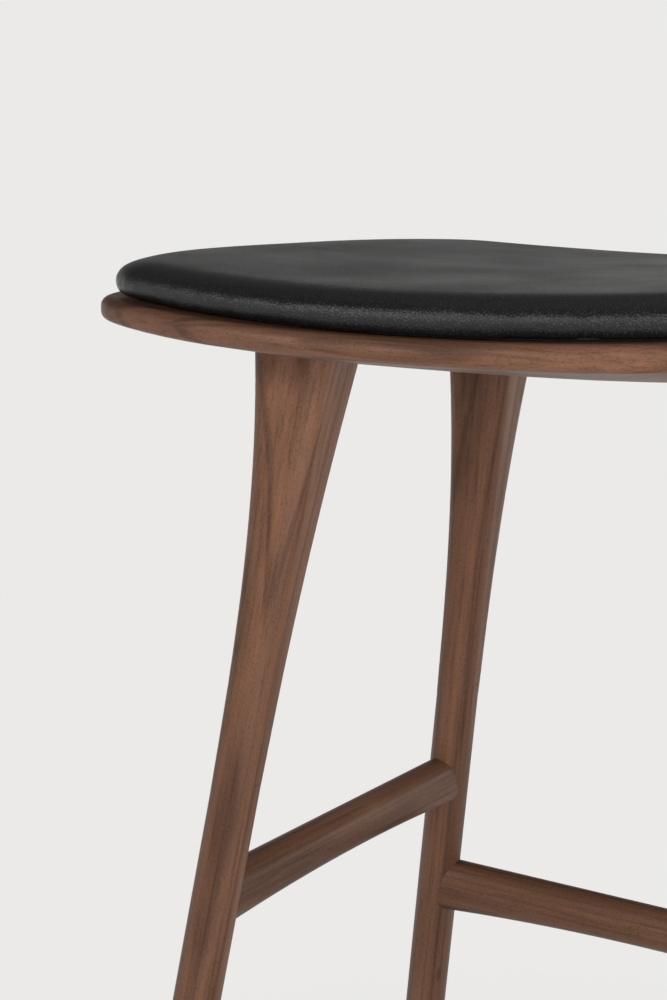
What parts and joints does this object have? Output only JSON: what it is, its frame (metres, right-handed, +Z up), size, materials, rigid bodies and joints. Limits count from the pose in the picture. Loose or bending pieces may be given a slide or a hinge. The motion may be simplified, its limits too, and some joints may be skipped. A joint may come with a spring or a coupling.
{
  "type": "saddle seat counter stool",
  "caption": "Backless counter stool with splayed flared wooden legs, arched stretchers, a dished seat board and a thin black leather pad.",
  "frame": {"origin": "on the floor under the middle of the seat", "axes": "+Z up from the floor, X along the long side of the seat, -Y towards the front"},
  "size_m": [0.48, 0.43, 0.6549],
  "materials": {
    "stained_wood": "dark brown stain under satin lacquer, grain along each piece",
    "dowel_wood": "bare beech",
    "plywood": "bare birch plywood",
    "foam": "open cell upholstery foam",
    "wadding": "polyester wadding",
    "black_leather": "black pebble grain, low sheen",
    "base_cloth": "black non-woven cloth",
    "zinc_steel": "zinc plated",
    "glide_nylon": "moulded brown nylon"
  },
  "bodies": {
    "root": {"seat_board": "stained_wood", "leg_front_left": "stained_wood", "leg_front_right": "stained_wood", "leg_rear_left": "stained_wood", "leg_rear_right": "stained_wood", "side_stretcher_left": "stained_wood", "side_stretcher_right": "stained_wood", "front_stretcher": "stained_wood", "rear_stretcher": "stained_wood", "leg_dowels": "dowel_wood", "pad_board": "plywood", "pad_foam": "foam", "pad_wadding": "wadding", "pad_leather": "black_leather", "pad_base_cloth": "base_cloth", "pad_staples": "zinc_steel", "pad_tee_nuts": "zinc_steel", "pad_screws": "zinc_steel", "pad_washers": "zinc_steel", "glide_front_left": "glide_nylon", "glide_front_right": "glide_nylon", "glide_rear_left": "glide_nylon", "glide_rear_right": "glide_nylon", "glide_nails": "zinc_steel"}
  },
  "joints": []
}
